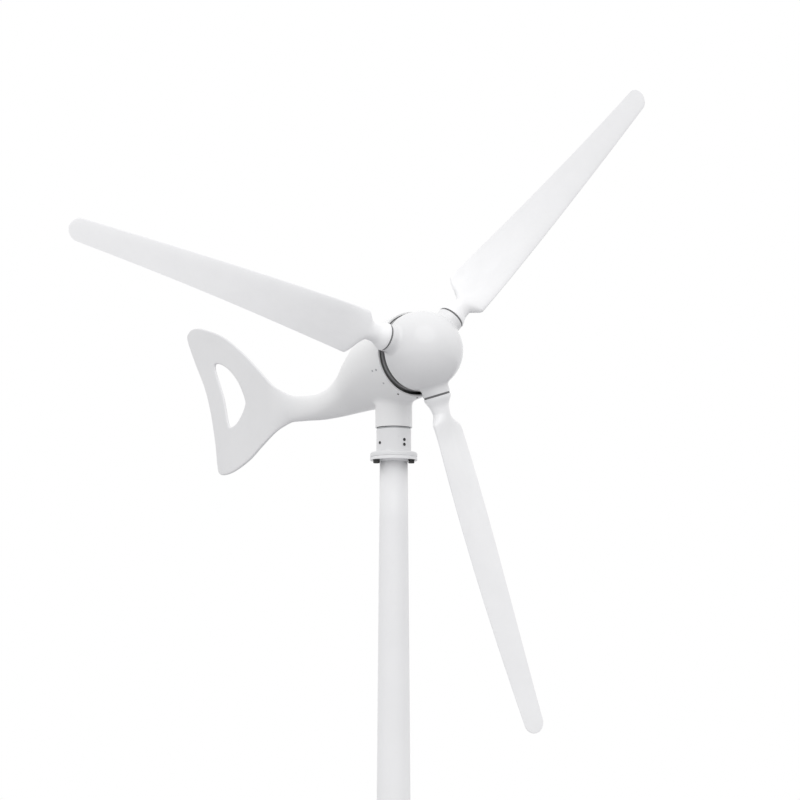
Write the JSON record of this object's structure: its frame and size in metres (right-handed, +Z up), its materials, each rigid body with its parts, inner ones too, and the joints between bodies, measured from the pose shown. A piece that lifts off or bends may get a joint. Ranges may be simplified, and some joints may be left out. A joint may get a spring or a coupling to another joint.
{
  "type": "small three-blade wind turbine on a mast",
  "caption": "Small horizontal-axis wind turbine: rotor and tailed housing that turn on a tapered steel mast with a bolted base plate.",
  "frame": {"origin": "middle of the base plate's underside, on the mast's axis", "axes": "+Z up along the mast, -Y the way the rotor faces, +Y towards the tail, +X to the right seen from the front of the rotor"},
  "size_m": [1.6388, 1.4222, 4.6057],
  "materials": {
    "mast_paint": "satin",
    "housing_paint": "satin",
    "spinner_paint": "gloss",
    "fin_paint": "satin",
    "blade_plastic": "satin",
    "steel": "brushed",
    "cast_metal": "cast",
    "dark_metal": "matt",
    "rubber": "matt"
  },
  "bodies": {
    "mast": {"base_plate": "mast_paint", "gusset_1": "mast_paint", "gusset_2": "mast_paint", "gusset_3": "mast_paint", "gusset_4": "mast_paint", "mast_tube": "mast_paint", "mast_top_flange": "mast_paint", "yaw_base_housing": "housing_paint", "yaw_spindle": "steel", "yaw_bearing_ring": "dark_metal"},
    "nacelle": {"nacelle_housing": "housing_paint", "generator_stator": "dark_metal", "tail_fin": "fin_paint"},
    "rotor": {"rotor_shaft": "steel", "rotor_hub": "cast_metal", "spinner": "spinner_paint", "blade_gasket_1": "rubber", "blade_gasket_2": "rubber", "blade_gasket_3": "rubber", "blade_1": "blade_plastic", "blade_2": "blade_plastic", "blade_3": "blade_plastic"}
  },
  "joints": [
    {"name": "yaw", "type": "hinge", "parent": "mast", "child": "nacelle", "pos_m": [0, 0, 3.678], "axis": [0, 0, 1], "continuous": true},
    {"name": "rotor_spin", "type": "hinge", "parent": "nacelle", "child": "rotor", "pos_m": [0, -0.143, 3.861], "axis": [0, 1, 0], "continuous": true}
  ]
}
